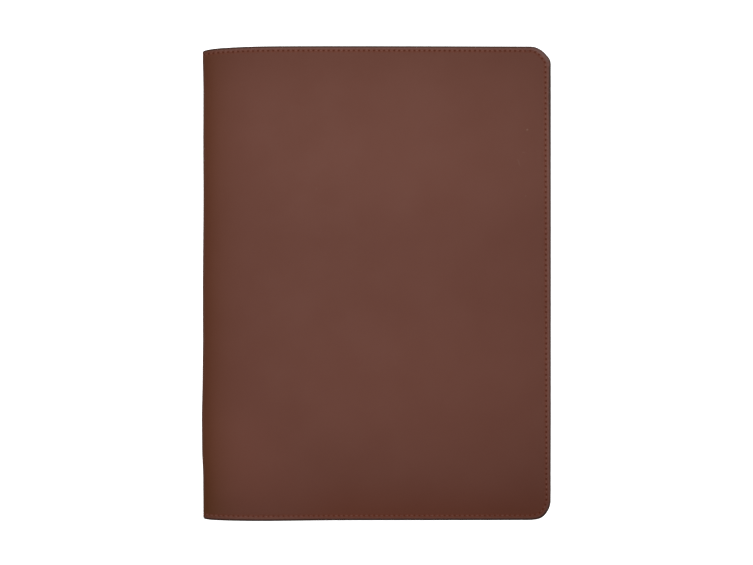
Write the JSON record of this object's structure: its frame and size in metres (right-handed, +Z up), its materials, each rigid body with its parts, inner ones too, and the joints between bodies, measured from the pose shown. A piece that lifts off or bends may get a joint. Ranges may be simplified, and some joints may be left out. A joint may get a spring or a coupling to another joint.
{
  "type": "leather document case",
  "caption": "Slim folding document case of brown leather, lying closed, with rounded fore corners and a flat pocket sewn inside each cover.",
  "frame": {"origin": "under the middle of the case's box, on the surface that it lies on", "axes": "+Z up, out of the front cover; +Y from the tail to the head; +X from the spine to the fore edge"},
  "size_m": [0.2364, 0.32, 0.017],
  "materials": {
    "cover_leather": "fine natural grain, semi-matt",
    "pocket_leather": "fine natural grain, matt"
  },
  "bodies": {
    "root": {"cover": "cover_leather", "front_pocket": "pocket_leather", "back_pocket": "pocket_leather"}
  },
  "joints": []
}
